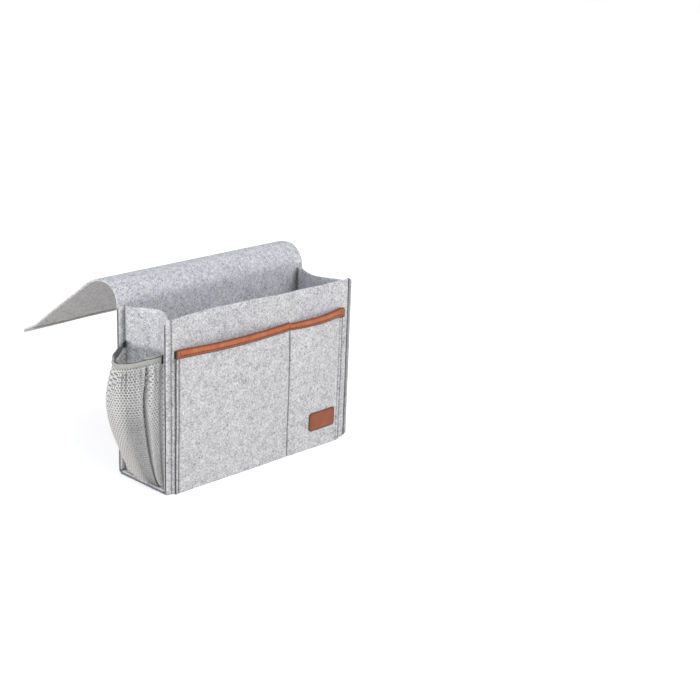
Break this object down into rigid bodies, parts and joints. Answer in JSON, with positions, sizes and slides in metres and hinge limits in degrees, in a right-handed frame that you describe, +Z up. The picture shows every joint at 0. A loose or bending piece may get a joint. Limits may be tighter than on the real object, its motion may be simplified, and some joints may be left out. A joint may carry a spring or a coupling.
{
  "type": "bedside caddy",
  "caption": "Open felt caddy with a long flap that goes under a mattress, front pockets with a leather edge and label, and a gathered mesh pocket on its left side.",
  "frame": {"origin": "middle of the underside of the felt box, on the face it stands on", "axes": "+Z up; +Y from the front pocket towards the flap; +X to the right seen from the front, so the mesh pocket is at -X"},
  "size_m": [0.3983, 0.3459, 0.2708],
  "materials": {
    "felt": "needled heather grey polyester felt, matt and fuzzy",
    "trim_leather": "tan grained leather edging, satin",
    "label_leather": "brown grained leather patch, bare, satin",
    "net": "knitted polyester net with small round holes, matt",
    "tape": "folded grey binding tape, matt",
    "elastic": "dark woven elastic, matt",
    "grip": "coated grip tape, matt",
    "thread": "twisted polyester sewing thread"
  },
  "bodies": {
    "caddy": {"front_panel": "felt", "bottom_panel": "felt", "back_panel": "felt", "left_gusset": "felt", "right_gusset": "felt", "front_pocket": "felt", "pocket_trim": "trim_leather", "label_patch": "label_leather", "mesh_pocket": "net", "pocket_elastic": "elastic", "pocket_binding": "tape", "front_thread_left": "thread", "front_thread_right": "thread", "back_thread_left": "thread", "back_thread_right": "thread", "base_thread_left": "thread", "base_thread_right": "thread", "pocket_thread_left": "thread", "pocket_thread_middle": "thread", "pocket_thread_right": "thread", "trim_thread": "thread"},
    "flap_neck": {"flap_neck": "felt"},
    "flap_tail": {"flap_tail": "felt", "flap_grip_strip": "grip", "grip_thread_inner": "thread", "grip_thread_outer": "thread"}
  },
  "joints": [
    {"name": "flap_base_fold", "type": "hinge", "parent": "caddy", "child": "flap_neck", "pos_m": [0, 0.051, 0.2398], "axis": [1, 0, 0], "range_deg": [-30, 60], "stiffness_Nm_per_rad": 0.3, "springref_deg": 13.92},
    {"name": "flap_crest_fold", "type": "hinge", "parent": "flap_neck", "child": "flap_tail", "pos_m": [0, 0.0805, 0.2693], "axis": [1, 0, 0], "range_deg": [-30, 60], "stiffness_Nm_per_rad": 0.3, "springref_deg": 10.77}
  ]
}
